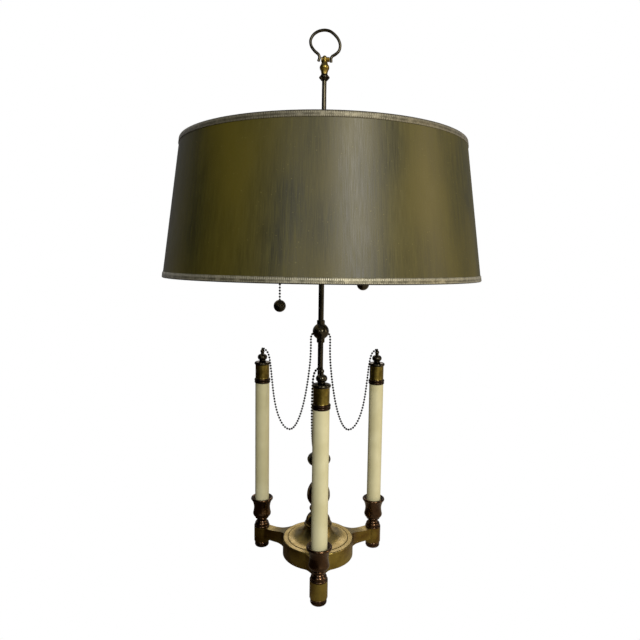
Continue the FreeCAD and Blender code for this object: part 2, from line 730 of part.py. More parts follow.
def make_carrier():
    body = new_body("shade_carrier")
    bore = "rod_radius + running_clearance"
    flange = "carrier_height + carrier_flange_height"
    revolve(body, "carrier_turning", [
        (bore, "0"),
        ("carrier_radius - 0.8", "0"),
        ("carrier_radius", "0.8"),
        ("carrier_radius", "carrier_height"),
        ("carrier_flange_radius", "carrier_height"),
        ("carrier_flange_radius", flange),
        ("carrier_neck_radius", flange),
        ("carrier_neck_radius", flange + " + carrier_neck_height"),
        (bore, flange + " + carrier_neck_height"),
    ])
    hole = body.newObject("Sketcher::SketchObject", "screw_hole_circle")
    hole.AttachmentSupport = [(plane_of(body, "YZ_Plane"), "")]
    hole.MapMode = "FlatFace"
    centre = FreeCAD.Vector(0, number("screw_height"), 0)
    hole.addGeometry(Part.Circle(centre, FreeCAD.Vector(0, 0, 1), number("screw_radius")), False)
    fix_point(hole, 0, 3, "0", "screw_height", centre)
    radius = hole.addConstraint(Sketcher.Constraint("Radius", 0, number("screw_radius")))
    hole.setExpression(f"Constraints[{radius}]", bound("screw_radius + running_clearance"))
    document.recompute()
    drilled = body.newObject("PartDesign::Pocket", "screw_hole")
    drilled.Profile = hole
    drilled.setExpression("Length", bound("carrier_radius + 1"))
    document.recompute()
    probe = FreeCAD.Vector(number("(rod_radius + carrier_radius) / 2"), 0, number("screw_height"))
    if body.Shape.isInside(probe, 1e-3, True):
        drilled.Reversed = True
    place(body, z="carrier_bottom")


make_carrier()

turned("clamp_screw", [
    ("0", "rod_radius + screw_tip_gap"),
    ("screw_radius", "rod_radius + screw_tip_gap"),
    ("screw_radius", "screw_head_start - 2"),
    ("0.5 * screw_head_radius", "screw_head_start - 2"),
    ("0.5 * screw_head_radius", "screw_head_start"),
    ("screw_head_radius - 0.6", "screw_head_start"),
    ("screw_head_radius", "screw_head_start + 0.6"),
    ("screw_head_radius", "screw_head_start + screw_head_length - 0.8"),
    ("screw_head_radius - 0.8", "screw_head_start + screw_head_length"),
    ("0", "screw_head_start + screw_head_length"),
], z="carrier_bottom + screw_height", axis=(0, 1, 0), angle=90)

# Shade: a stiff drum with a tape trim folded over each rim. The walls lean
# in by the same slope, so offsets along the wall use its run and rise.
SLOPE = "((shade_bottom_radius - shade_top_radius) / (shade_top - shade_bottom))"


def shade_radius(height, inwards="0"):
    """Outer radius of the shade at a height, less a distance."""
    return f"shade_bottom_radius - {SLOPE} * ({height} - shade_bottom) - ({inwards})"


turned("shade_shell", [
    (shade_radius("shade_bottom", "shade_wall"), "shade_bottom"),
    (shade_radius("shade_bottom"), "shade_bottom"),
    (shade_radius("shade_top"), "shade_top"),
    (shade_radius("shade_top", "shade_wall"), "shade_top"),
])


def make_trim(label, edge, away):
    """Tape folded over one rim, as a thin U in section. Away is 1 where the
    tape covers the wall above the rim, and -1 where it covers the wall below."""
    fold = f"({edge} - {away} * trim_thickness)"
    inner_end = f"({edge} + {away} * trim_height)"
    turned(label, [
        (shade_radius(fold, "shade_wall + trim_thickness"), fold),
        (shade_radius(fold, "-trim_thickness"), fold),
        (shade_radius(inner_end, "-trim_thickness"), inner_end),
        (shade_radius(inner_end), inner_end),
        (shade_radius(edge), edge),
        (shade_radius(edge, "shade_wall"), edge),
        (shade_radius(inner_end, "shade_wall"), inner_end),
        (shade_radius(inner_end, "shade_wall + trim_thickness"), inner_end),
    ])


make_trim("bottom_trim", "shade_bottom", 1)
make_trim("top_trim", "shade_top", -1)


def make_spider():
    """Hub, three spokes and the ring that holds the top of the shade."""
    hub_base = number("carrier_bottom + carrier_height + carrier_flange_height + hub_gap")
    hub_bore = number("carrier_neck_radius + running_clearance")
    wire = number("wire_radius")
    ring_height = number("shade_top - trim_height") - wire
    ring_radius = number(shade_radius("shade_top - trim_height - wire_radius", "shade_wall + wire_radius + 0.3"))
    up = FreeCAD.Vector(0, 0, 1)
    low = FreeCAD.Vector(0, 0, hub_base)
    hub = Part.makeCylinder(number("hub_radius"), number("hub_height"), low, up)
    ring = Part.makeTorus(ring_radius, wire, FreeCAD.Vector(0, 0, ring_height), up)
    spider = hub.fuse(ring)
    for angle in ARMS.values():
        heading = FreeCAD.Vector(math.cos(math.radians(angle)), math.sin(math.radians(angle)), 0)
        start = heading * (hub_bore + wire) + FreeCAD.Vector(0, 0, hub_base + number("hub_height") / 2)
        end = heading * ring_radius + FreeCAD.Vector(0, 0, ring_height)
        spoke = Part.makeCylinder(wire, (end - start).Length, start, end - start)
        spider = spider.fuse(spoke)
    spider = spider.cut(Part.makeCylinder(hub_bore, 4 * number("hub_height"), low - up * 5, up))
    feature = document.addObject("Part::Feature", "shade_spider")
    feature.Shape = spider.removeSplitter()
    feature.Placement = FreeCAD.Placement()
    feature.Label = "shade_spider"


make_spider()

bottom_wire = document.addObject("Part::Torus", "bottom_wire")
bottom_wire.Label = "bottom_wire"
WIRE_LEVEL = "shade_bottom + trim_height + wire_radius"
bottom_wire.setExpression("Radius1", bound(shade_radius(WIRE_LEVEL, "shade_wall + wire_radius + 0.2")))
bottom_wire.setExpression("Radius2", bound("wire_radius"))
place(bottom_wire, z=WIRE_LEVEL)

# Finial: a dark collar, a brass baluster with a cross yoke, and the loop.
turned("finial_collar", [
    ("0", "0"),
    ("rod_radius + 0.8", "0"),
    ("collar_radius", "0.46 * collar_height"),
    ("collar_radius", "0.56 * collar_height"),
    ("rod_radius + 1.4", "collar_height"),
    ("0", "collar_height"),
], z="rod_top")

BALUSTER_BASE = "rod_top + collar_height"


def make_baluster():
    """Turned baluster with a short cross bar, the yoke, through its head."""
    body = new_body("finial_baluster")
    revolve(body, "baluster_turning", [
        ("0", "0"),
        ("rod_radius + 1.4", "0"),
        (("0.7 * baluster_radius", "0.12 * baluster_height"),
         ("0.86 * baluster_radius", "0.24 * baluster_height")),
        (("baluster_radius", "0.37 * baluster_height"), ("0.86 * baluster_radius", "0.48 * baluster_height")),
        (("baluster_neck_radius + 0.5", "0.59 * baluster_height"),
         ("baluster_neck_radius", "0.68 * baluster_height")),
        ("0.9 * baluster_neck_radius", "baluster_height - 4.5"),
        (("0.74 * baluster_neck_radius", "baluster_height - 1.6"),
         ("0.3 * baluster_neck_radius", "baluster_height")),
        ("0", "baluster_height"),
    ])
    bar = body.newObject("Sketcher::SketchObject", "yoke_circle")
    bar.AttachmentSupport = [(plane_of(body, "YZ_Plane"), "")]
    bar.MapMode = "FlatFace"
    bar.setExpression("AttachmentOffset.Base.z", bound("-yoke_left"))
    centre = FreeCAD.Vector(0, number(f"yoke_height - ({BALUSTER_BASE})"), 0)
    bar.addGeometry(Part.Circle(centre, FreeCAD.Vector(0, 0, 1), number("yoke_radius")), False)
    fix_point(bar, 0, 3, "0", f"yoke_height - ({BALUSTER_BASE})", centre)
    radius = bar.addConstraint(Sketcher.Constraint("Radius", 0, number("yoke_radius")))
    bar.setExpression(f"Constraints[{radius}]", bound("yoke_radius"))
    yoke = body.newObject("PartDesign::Pad", "yoke")
    yoke.Profile = bar
    yoke.setExpression("Length", bound("yoke_left + yoke_right"))
    place(body, z=BALUSTER_BASE)


make_baluster()


def rounded_wire(points):
    """Straight runs through the points, joined by the widest tangent arcs."""
    edges = []
    radii = []
    start = points[0]
    for before, corner, after in zip(points, points[1:], points[2:]):
        into = corner - before
        out = after - corner
        turn = into.getAngle(out)
        reach = 0.45 * min(into.Length, out.Length)
        radii.append(reach / math.tan(turn / 2))
        first = corner - into.normalize() * reach
        last = corner + out.normalize() * reach
        bisector = (out - into).normalize()
        middle = corner + bisector * (radii[-1] / math.cos(turn / 2) - radii[-1])
        edges.append(Part.LineSegment(start, first).toShape())
        edges.append(Part.Arc(first, middle, last).toShape())
        start = last
    edges.append(Part.LineSegment(start, points[-1]).toShape())
    return Part.Wire(edges), radii


def make_round_bar(label, points, radius):
    """Sweep a round section along the rounded wire, and print its radii."""
    path, radii = rounded_wire(points)
    heading = points[1] - points[0]
    section = Part.Wire(Part.makeCircle(radius, points[0], heading))
    shell = Part.BRepOffsetAPI.MakePipeShell(path)
    shell.add(section)
    shell.setTransitionMode(1)
    shell.build()
    shell.makeSolid()
    solid = shell.shape()
    expected = math.pi * radius ** 2 * path.Length
    print(f"{label}: length {path.Length:.1f}, volume ratio {solid.Volume / expected:.4f}, "
          f"radii {', '.join(f'{r:.1f}' for r in radii)}")
    feature = document.addObject("Part::Feature", label)
    feature.Shape = solid
    feature.Placement = FreeCAD.Placement()
    feature.Label = label
    return feature


def make_finial_loop():
    """Lyre-shaped carrying loop. Its ends hook past the yoke's arms."""
    yoke = number("yoke_height")
    wire = number("loop_wire_radius")
    left = -number("yoke_left") - wire
    right = number("yoke_right") + wire
    plan = [
        (left - 1.8, -2.4), (left, 2.6), (left - 1.4, 6.9), (-14.9, 11.6), (-19.9, 18.4), (-20.9, 26.4),
        (-16.4, 34.2), (-8.9, 38.9), (-0.4, 40.4), (7.0, 39.2), (13.4, 34.8), (19.4, 28.2),
        (22.3, 20.2), (21.0, 12.4), (15.8, 7.4), (right, 3.8), (right + 0.2, -3.6)]
    points = [FreeCAD.Vector(x, 0, yoke + rise) for x, rise in plan]
    make_round_bar("finial_loop", points, wire)


make_finial_loop()


def in_arm_plane(angle, reach, height):
    """Point at a distance from the lamp's axis in an arm's upright plane."""
    turn = math.radians(angle)
    return FreeCAD.Vector(reach * math.cos(turn), reach * math.sin(turn), height)


# Route of a snuffer chain from the ball's eye to the cap's tip, as distance
# from the lamp's axis and height. It hangs under its own weight.
SIDE_CHAIN_ROUTE = [
    (14.8, 360.0), (17.9, 358.9), (17.4, 341.0), (18.2, 321.0), (21.0, 301.0), (25.2, 277.0),
    (30.6, 252.0), (37.4, 229.0), (45.6, 212.0), (55.0, 204.0), (67.0, 208.5), (78.0, 225.0),
    (84.5, 250.0), (88.6, 283.0), (91.2, 307.0), (94.0, 320.5), (98.4, 327.8), (103.6, 329.8),
]
# The front chain swings a little to the left and hangs past its candle.
FRONT_CHAIN_ROUTE = [
    (0.0, -14.8, 360.0), (-0.1, -17.9, 358.9), (-0.8, -18.0, 338.0), (-2.2, -20.4, 310.0),
    (-4.0, -24.6, 276.0), (-6.0, -31.0, 241.0), (-8.4, -43.5, 214.0), (-10.4, -59.0, 205.5),
    (-12.0, -74.5, 213.0), (-13.4, -85.6, 235.0), (-14.0, -91.6, 265.0), (-13.8, -95.2, 296.0),
    (-12.2, -97.0, 317.0), (-8.0, -99.8, 327.2), (-2.4, -104.6, 329.8),
]
CHAIN_ROUTES = {
    "front": [FreeCAD.Vector(*point) for point in FRONT_CHAIN_ROUTE],
    "right": [in_arm_plane(ARMS["right"], *point) for point in SIDE_CHAIN_ROUTE],
    "left": [in_arm_plane(ARMS["left"], *point) for point in SIDE_CHAIN_ROUTE],
}
for side, points in CHAIN_ROUTES.items():
    make_round_bar("snuffer_chain_" + side, points, number("chain_radius"))

# Supply lead inside the lamp, from the bushing to the top of the stem.
LEAD_ROUTE = [(36, 23), (24, 17.5), (12, 13.5), (2.4, 14.5), (0, 24)]
bushing_back = number("disc_radius - bushing_depth + bushing_flange + bushing_proud")
lead_points = [FreeCAD.Vector(0, bushing_back - number("cap_gap"), number("bushing_height"))]
lead_points += [FreeCAD.Vector(0, *point) for point in LEAD_ROUTE]
lead_points.append(FreeCAD.Vector(0, 0, number("stem_top")))
make_round_bar("supply_lead", lead_points, number("lead_radius"))

document.recompute()

parts = []
for item in document.Objects:
    if "Invalid" in item.State or "Error" in item.State:
        raise ValueError(f"{item.Label} failed: {item.State}")
    if item.isDerivedFrom("PartDesign::Body") or (
            item.isDerivedFrom("Part::Feature") and item.getParentGeoFeatureGroup() is None
            and not item.isDerivedFrom("Sketcher::SketchObject")):
        parts.append(item)
for item in parts:
    if item.Shape.isNull() or not item.Shape.isValid() or not item.Shape.Solids:
        raise ValueError(f"{item.Label} has no valid solid")

os.makedirs("parts", exist_ok=True)
for item in parts:
    item.Shape.exportStep(os.path.join("parts", item.Label + ".step"))
print(f"{len(parts)} sub-parts, {sum(len(item.Shape.Solids) for item in parts)} solids")
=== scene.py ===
# %% [markdown]
# # A bouillotte lamp with three dummy candles
# The lamp's hard parts come from its construction model. This notebook gives
# them their finishes and makes what is better shaped here than by machining:
# the bead chains, the braid on the shade's rims and the lead in the stem. It
# begins with the frame, because every later piece is placed by it.

# %% Load the frame
import math

import bmesh
import bpy
from mathutils import Matrix, Vector


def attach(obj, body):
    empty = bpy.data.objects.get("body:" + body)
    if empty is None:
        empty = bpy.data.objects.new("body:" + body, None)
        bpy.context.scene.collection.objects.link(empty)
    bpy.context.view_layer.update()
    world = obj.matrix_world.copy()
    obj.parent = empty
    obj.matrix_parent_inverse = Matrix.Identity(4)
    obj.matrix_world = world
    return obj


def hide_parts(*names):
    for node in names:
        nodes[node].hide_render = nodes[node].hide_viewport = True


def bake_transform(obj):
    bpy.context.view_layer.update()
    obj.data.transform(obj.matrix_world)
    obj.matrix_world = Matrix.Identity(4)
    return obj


MM = 0.001
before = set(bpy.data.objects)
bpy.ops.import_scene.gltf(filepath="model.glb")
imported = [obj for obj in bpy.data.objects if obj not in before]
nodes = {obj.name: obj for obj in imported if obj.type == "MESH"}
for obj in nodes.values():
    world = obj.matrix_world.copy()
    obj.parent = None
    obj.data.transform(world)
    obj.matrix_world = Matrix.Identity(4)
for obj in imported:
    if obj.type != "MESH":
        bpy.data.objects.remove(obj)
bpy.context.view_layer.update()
scene = bpy.context.scene

# %% [markdown]
# ## The camera
# The lens and the camera's place were worked out from the photograph: the
# shade's rims show how far below the top and above the bottom the eye is, and
# the three feet show the distance. The camera stands 0.84 m in front, a little
# above the shade's lower rim, and looks down by six degrees. The lamp leans by
# about a degree in the photograph, and a small roll shares that out.

# %% Place the camera
PHOTO_WIDTH = 640
FOCAL_PIXELS = 562.9
SENSOR_WIDTH = 36.0
CAMERA_PLACE = Vector((-1.42, -840.8, 472.35)) * MM
LOOKING_DOWN = math.radians(6.1)
ROLL = math.radians(0.8)
LAMP_TURN = math.radians(0.96)

camera_data = bpy.data.cameras.new("photo_camera")
camera_data.sensor_width = SENSOR_WIDTH
camera_data.lens = FOCAL_PIXELS / PHOTO_WIDTH * SENSOR_WIDTH
camera = bpy.data.objects.new("photo_camera", camera_data)
scene.collection.objects.link(camera)
camera.matrix_world = (
    Matrix.Rotation(-LAMP_TURN, 4, "Z")
    @ Matrix.Translation(CAMERA_PLACE)
    @ Matrix.Rotation(math.pi / 2 - LOOKING_DOWN, 4, "X")
    @ Matrix.Rotation(ROLL, 4, "Z"))
scene.camera = camera
scene.view_settings.view_transform = "Standard"
print("lens", round(camera_data.lens, 2), "mm")

# %% [markdown]
# ## Helpers for finishes
# Every finish below is a small node tree. One function turns a colour as it is
# written on the web into the linear numbers that light is worked out in. One
# function adds a node with its settings and links. The other helpers are for
# what every finish does: it starts from the piece's own coordinates in metres,
# has patches of a size given in millimetres, and ends in one shader.

# %% Define the helpers
def linear(colour):
    """Turn an sRGB hex colour into linear red, green, blue and alpha."""
    channels = [int(colour[start:start + 2], 16) / 255 for start in (1, 3, 5)]
    return [c / 12.92 if c <= 0.04045 else ((c + 0.055) / 1.055) ** 2.4 for c in channels] + [1.0]


def add_node(tree, kind, settings=None, links=None):
    """Add a node, set its own settings, and link or set its sockets."""
    node = tree.nodes.new(kind)
    for name, value in (settings or {}).items():
        setattr(node, name, value)
    for socket, value in (links or {}).items():
        if isinstance(value, bpy.types.NodeSocket):
            tree.links.new(value, node.inputs[socket])
        else:
            node.inputs[socket].default_value = value
    return node


def start_material(name):
    """Begin a material, and give it with its node tree and coordinates."""
    material = bpy.data.materials.new(name)
    material.use_nodes = True
    material.node_tree.nodes.clear()
    coordinates = add_node(material.node_tree, "ShaderNodeTexCoord")
    return material, material.node_tree, coordinates.outputs["Object"]


def patches(tree, place, size_mm, low=0.35, high=0.65, detail=3.0):
    """Soft patches of a size, from 0 to 1. Low and high set how hard they are."""
    noise = add_node(tree, "ShaderNodeTexNoise", {}, {
        "Vector": place, "Scale": 1 / (size_mm * MM), "Detail": detail})
    spread = add_node(tree, "ShaderNodeMapRange", {}, {
        "Value": noise.outputs["Fac"], "From Min": low, "From Max": high})
    return spread.outputs["Result"]


def finish_material(tree, shader, height=None, depth_mm=0.0):
    """End a material in one shader, with relief of a real depth if it has any."""
    surface = add_node(tree, "ShaderNodeBsdfPrincipled", {}, shader)
    if height is not None:
        relief = add_node(tree, "ShaderNodeBump", {}, {
            "Height": height, "Distance": depth_mm * MM, "Strength": 1.0})
        tree.links.new(relief.outputs["Normal"], surface.inputs["Normal"])
    add_node(tree, "ShaderNodeOutputMaterial", {}, {"Surface": surface.outputs["BSDF"]})


print("helpers ready; mid olive is", [round(c, 3) for c in linear("#565224")[:3]])

# %% [markdown]
# ## Floor, background and light
# The photograph shows the lamp on plain white with no shadow. So the camera,
# and anything seen through glass, sees a pure white world, and the floor and
# the panel show only in the metal and in the light that they throw back. The
# light on the lamp is much softer, like that of a room with pale walls. A
# large soft box at the front right gives the form its light side, one behind
# and above lights the level faces of the base, and a weak one at the left
# keeps the dark side open. A warm strip at the right edges the forms. A black
# panel at the left and the dim room are mirrored in the metal. The walls of the
# base mirror the floor, which is a cloth that goes from dark brown at the left
# to a pale grey brown at the right, as the walls do in the photograph.

# %% Make the stage
FLOOR_SIZE = 14.0
ROOM_STRENGTH = 0.46
MIRRORED_STRENGTH = 0.2
DARK_CLOTH_EDGE = -0.12
PALE_CLOTH_EDGE = 0.1


def stage_sheet(name, size, place, turn, material):
    """A flat square sheet of the studio that belongs to no part of the lamp."""
    mesh = bpy.data.meshes.new(name)
    form = bmesh.new()
    bmesh.ops.create_grid(form, x_segments=1, y_segments=1, size=size / 2)
    form.to_mesh(mesh)
    form.free()
    mesh.materials.append(material)
    sheet = bpy.data.objects.new(name, mesh)
    scene.collection.objects.link(sheet)
    sheet.location = place
    sheet.rotation_euler = turn
    sheet.visible_camera = False
    sheet.visible_transmission = False


floor_cloth, tree, place = start_material("graded_floor_cloth")
split = add_node(tree, "ShaderNodeSeparateXYZ", {}, {"Vector": place})
side = add_node(tree, "ShaderNodeMapRange", {}, {
    "Value": split.outputs["X"], "From Min": DARK_CLOTH_EDGE, "From Max": PALE_CLOTH_EDGE})
cloth = add_node(tree, "ShaderNodeMix", {"data_type": "RGBA"}, {
    0: side.outputs["Result"], 6: linear("#43372a"), 7: linear("#c2b8a6")})
matt = add_node(tree, "ShaderNodeBsdfDiffuse", {}, {"Color": cloth.outputs[2]})
add_node(tree, "ShaderNodeOutputMaterial", {}, {"Surface": matt.outputs["BSDF"]})
stage_sheet("studio_floor", FLOOR_SIZE, (0, 0, 0), (0, 0, 0), floor_cloth)

black_felt, tree, place = start_material("black_felt")
felt = add_node(tree, "ShaderNodeBsdfDiffuse", {}, {"Color": linear("#0c0c0c")})
add_node(tree, "ShaderNodeOutputMaterial", {}, {"Surface": felt.outputs["BSDF"]})
stage_sheet("black_panel", 2.6, (-1.5, -0.9, 1.31), (math.pi / 2, 0, math.radians(75)), black_felt)

world = bpy.data.worlds.new("studio")
scene.world = world
world.use_nodes = True
tree = world.node_tree
tree.nodes.clear()
path = add_node(tree, "ShaderNodeLightPath")
room = add_node(tree, "ShaderNodeMapRange", {}, {
    "Value": path.outputs["Is Glossy Ray"], "To Min": ROOM_STRENGTH, "To Max": MIRRORED_STRENGTH})
white = add_node(tree, "ShaderNodeMath", {"operation": "MAXIMUM"}, {
    0: path.outputs["Is Camera Ray"], 1: path.outputs["Is Transmission Ray"]})
strength = add_node(tree, "ShaderNodeMapRange", {}, {
    "Value": white.outputs["Value"], "To Min": room.outputs["Result"], "To Max": 1.0})
backdrop = add_node(tree, "ShaderNodeBackground", {}, {
    "Color": linear("#ffffff"), "Strength": strength.outputs["Result"]})
add_node(tree, "ShaderNodeOutputWorld", {}, {"Surface": backdrop.outputs["Background"]})
print("stage ready")

# %% Hang the soft boxes
SOFT_BOXES = {
    "key_light": {"place": (0.85, -2.2, 1.4), "width": 0.7, "height": 1.3, "power": 40.0, "colour": "#fffaf0"},
    "fill_light": {"place": (-0.75, -2.4, 1.1), "width": 0.3, "height": 1.2, "power": 6.0, "colour": "#f4f8ff"},
    "warm_strip": {"place": (2.2, -0.5, 0.9), "width": 0.5, "height": 1.6, "power": 9.0, "colour": "#ffe9c8"},
    "back_light": {"place": (0.3, 2.2, 1.9), "width": 2.2, "height": 1.2, "power": 18.0, "colour": "#fff2e6"},
}
AIM = Vector((0, 0, 0.38))
for name, box in SOFT_BOXES.items():
    data = bpy.data.lights.new(name, "AREA")
    data.shape = "RECTANGLE"
    data.size = box["width"]
    data.size_y = box["height"]
    data.energy = box["power"]
    data.color = linear(box["colour"])[:3]
    light = bpy.data.objects.new(name, data)
    scene.collection.objects.link(light)
    light.location = box["place"]
    light.rotation_euler = (AIM - light.location).to_track_quat("-Z", "Y").to_euler()
print(len(SOFT_BOXES), "soft boxes")

# %% [markdown]
# ## Cast brass, antiqued
# The base was cast and toned with a brown patina, in patches a few centimetres
# wide. Its level faces are painted a lighter greenish old gold, as painted
# light from above. Its upright walls are painted a darker brown with gold
# showing through, as painted shade. Which of the two a surface takes comes from
# how upright it is. The casting's skin shows as a faint grain of about a millimetre.

# %% Cast brass
material, tree, place = start_material("cast_brass_antiqued")
geometry = add_node(tree, "ShaderNodeNewGeometry")
facing = add_node(tree, "ShaderNodeSeparateXYZ", {}, {"Vector": geometry.outputs["Normal"]})
# Painted light and shade: level faces are painted lighter and upright walls darker, by which way the surface
# faces.
painted_top_light = add_node(tree, "ShaderNodeMapRange", {}, {
    "Value": facing.outputs["Z"], "From Min": 0.25, "From Max": 0.8})
wall = add_node(tree, "ShaderNodeMix", {"data_type": "RGBA"}, {
    0: patches(tree, place, 38, 0.42, 0.62), 6: linear("#6b5218"), 7: linear("#9c8a40")})
top = add_node(tree, "ShaderNodeMix", {"data_type": "RGBA"}, {
    0: patches(tree, place, 22), 6: linear("#8f7d46"), 7: linear("#a4935e")})
colour = add_node(tree, "ShaderNodeMix", {"data_type": "RGBA"}, {
    0: painted_top_light.outputs["Result"], 6: wall.outputs[2], 7: top.outputs[2]})
gloss = add_node(tree, "ShaderNodeMapRange", {}, {
    "Value": patches(tree, place, 9), "To Min": 0.3, "To Max": 0.42})
finish_material(tree, {
    "Base Color": colour.outputs[2], "Metallic": 1.0, "Roughness": gloss.outputs["Result"],
    "Coat Weight": 0.25, "Coat Roughness": 0.12},
    height=patches(tree, place, 1.2, 0.2, 0.8), depth_mm=0.02)
cast_brass = material
print(material.name)

# %% [markdown]
# ## Bronzed brass
# The cups, the caps' finials and the vase of the column are turned brass,
# dipped to a dark red brown and lacquered. The rod, the ball and the loop were
# dipped longer, to an olive black, and the bell cap only lightly, to
# a golden brown. Handling has worn them a little warmer in patches, and the
# lathe left rings about half a millimetre apart that only show where the light
# is low.

# %% Bronzed brass
def bronzed(name, deep, worn):
    """Turned brass under a dark dip, from its deep colour to its worn one."""
    material, tree, place = start_material(name)
    colour = add_node(tree, "ShaderNodeMix", {"data_type": "RGBA"}, {
        0: patches(tree, place, 24, 0.35, 0.7), 6: linear(deep), 7: linear(worn)})
    gloss = add_node(tree, "ShaderNodeMapRange", {}, {
        "Value": patches(tree, place, 9), "To Min": 0.17, "To Max": 0.25})
    rings = add_node(tree, "ShaderNodeTexWave", {"bands_direction": "Z"}, {
        "Vector": place, "Scale": 1 / (0.5 * MM) / (2 * math.pi), "Distortion": 0.4})
    finish_material(tree, {
        "Base Color": colour.outputs[2], "Metallic": 1.0, "Roughness": gloss.outputs["Result"],
        "Coat Weight": 0.3, "Coat Roughness": 0.08},
        height=rings.outputs["Fac"], depth_mm=0.0015)
    print(material.name)
    return material


bronzed_brass = bronzed("bronzed_turned_brass", "#3f2a17", "#5f462c")
olive_bronze = bronzed("olive_bronzed_brass", "#272418", "#413c2c")
toned_brass = bronzed("toned_turned_brass", "#5f4b20", "#7d6a36")

# %% [markdown]
# ## Spun brass of the snuffer caps
# The caps are thin spun brass, satin and olive gold. Spinning leaves fine
# rings round them, and old lacquer gives brown spots. The double ring at the
# mouth of each cap was dipped with the other dark parts, so the colour changes
# at its upper edge.

# %% Spun brass
MOUTH_RING_TOP = 282.2

material, tree, place = start_material("spun_brass_satin")
body = add_node(tree, "ShaderNodeMix", {"data_type": "RGBA"}, {
    0: patches(tree, place, 8, 0.35, 0.7, 5.0), 6: linear("#63551f"), 7: linear("#91813c")})
split = add_node(tree, "ShaderNodeSeparateXYZ", {}, {"Vector": place})
at_mouth = add_node(tree, "ShaderNodeMath", {"operation": "LESS_THAN"}, {
    0: split.outputs["Z"], 1: MOUTH_RING_TOP * MM})
colour = add_node(tree, "ShaderNodeMix", {"data_type": "RGBA"}, {
    0: at_mouth.outputs["Value"], 6: body.outputs[2], 7: linear("#2c1d0e")})
rings = add_node(tree, "ShaderNodeTexWave", {"bands_direction": "Z"}, {
    "Vector": place, "Scale": 1 / (0.7 * MM) / (2 * math.pi), "Distortion": 0.8})
finish_material(tree, {
    "Base Color": colour.outputs[2], "Metallic": 1.0, "Roughness": 0.34,
    "Coat Weight": 0.2, "Coat Roughness": 0.15},
    height=rings.outputs["Fac"], depth_mm=0.008)
spun_brass = material
print(material.name)

# %% [markdown]
# ## Ivory lacquer of the candles
# The dummy candles are tubes sprayed with ivory enamel. It is a semi-gloss
# coat over a soft yellow white that has darkened unevenly, with a faint orange
# peel two millimetres wide.

# %% Ivory lacquer
material, tree, place = start_material("ivory_enamel")
colour = add_node(tree, "ShaderNodeMix", {"data_type": "RGBA"}, {
    0: patches(tree, place, 30), 6: linear("#cac59b"), 7: linear("#d5d1aa")})
finish_material(tree, {
    "Base Color": colour.outputs[2], "Roughness": 0.38, "IOR": 1.48,
    "Coat Weight": 0.3, "Coat Roughness": 0.15},
    height=patches(tree, place, 2.0, 0.2, 0.8), depth_mm=0.012)
ivory_enamel = material
print(material.name)

# %% [markdown]
# ## Socket brass, screw caps, steel, glass and plastic
# The fittings under the shade are plain satin brass. The bulbs have drawn
# aluminium screw caps with a thread of 3.6 mm pitch and frosted glass. The
# nut, the washer and the shade's wire are zinc plated steel, which shows a
# faint crystal pattern. The bushing and the lead are dark moulded PVC.

# %% Fittings' finishes
material, tree, place = start_material("socket_brass_drawn")
colour = add_node(tree, "ShaderNodeMix", {"data_type": "RGBA"}, {
    0: patches(tree, place, 12), 6: linear("#a5853f"), 7: linear("#bb9d57")})
finish_material(tree, {
    "Base Color": colour.outputs[2], "Metallic": 1.0, "Roughness": 0.3},
    height=patches(tree, place, 0.8, 0.2, 0.8), depth_mm=0.006)
socket_brass = material

material, tree, place = start_material("drawn_aluminium_screw_cap")
THREAD_PITCH = 3.6
thread = add_node(tree, "ShaderNodeTexWave", {"bands_direction": "X"}, {
    "Vector": place, "Scale": 1 / (THREAD_PITCH * MM) / (2 * math.pi)})
tone = add_node(tree, "ShaderNodeMix", {"data_type": "RGBA"}, {
    0: patches(tree, place, 4), 6: linear("#b9babb"), 7: linear("#d0d1d2")})
finish_material(tree, {
    "Base Color": tone.outputs[2], "Metallic": 1.0, "Roughness": 0.28},
    height=thread.outputs["Fac"], depth_mm=0.9)
cap_aluminium = material

material, tree, place = start_material("zinc_plated_steel")
crystals = add_node(tree, "ShaderNodeTexVoronoi", {}, {"Vector": place, "Scale": 1 / (1.6 * MM)})
tone = add_node(tree, "ShaderNodeMix", {"data_type": "RGBA"}, {
    0: crystals.outputs["Distance"], 6: linear("#9a9c9e"), 7: linear("#c3c5c6")})
finish_material(tree, {
    "Base Color": tone.outputs[2], "Metallic": 1.0, "Roughness": 0.38})
plated_steel = material

material, tree, place = start_material("frosted_bulb_glass")
etch = patches(tree, place, 0.6, 0.2, 0.8)
finish_material(tree, {
    "Base Color": linear("#f5f3ea"), "Roughness": 0.45, "IOR": 1.5, "Transmission Weight": 0.55},
    height=etch, depth_mm=0.01)
frosted_glass = material

material, tree, place = start_material("dark_moulded_pvc")
tone = add_node(tree, "ShaderNodeMix", {"data_type": "RGBA"}, {
    0: patches(tree, place, 6), 6: linear("#1d1613"), 7: linear("#2a211c")})
finish_material(tree, {
    "Base Color": tone.outputs[2], "Roughness": 0.5, "IOR": 1.53},
    height=patches(tree, place, 0.5, 0.2, 0.8), depth_mm=0.015)
dark_pvc = material
print("five finishes for the fittings")

# %% [markdown]
# ## Glazed card of the shade
# The shade is stiff card with an olive glaze that was dragged down with a dry
# brush, so streaks run from rim to rim, darker and lighter by a little. They
# must follow the drum and its taper. So the pattern is drawn on the distance
# round the drum and the height, with the height pressed together to draw the
# streaks out. The inside is painted off-white to throw the light, which a test
# on which way the surface faces tells apart. Towards the card's joint at the
# back the broad patches fade to one tone, so that they meet there.

# %% Glazed card
DRUM_RADIUS = 215 * MM
STREAK_WIDTH = 1.1
STREAK_STRETCH = 0.045
PATCH_STRETCH = 0.4
EVEN_FROM = 110
EVEN_TO = 195


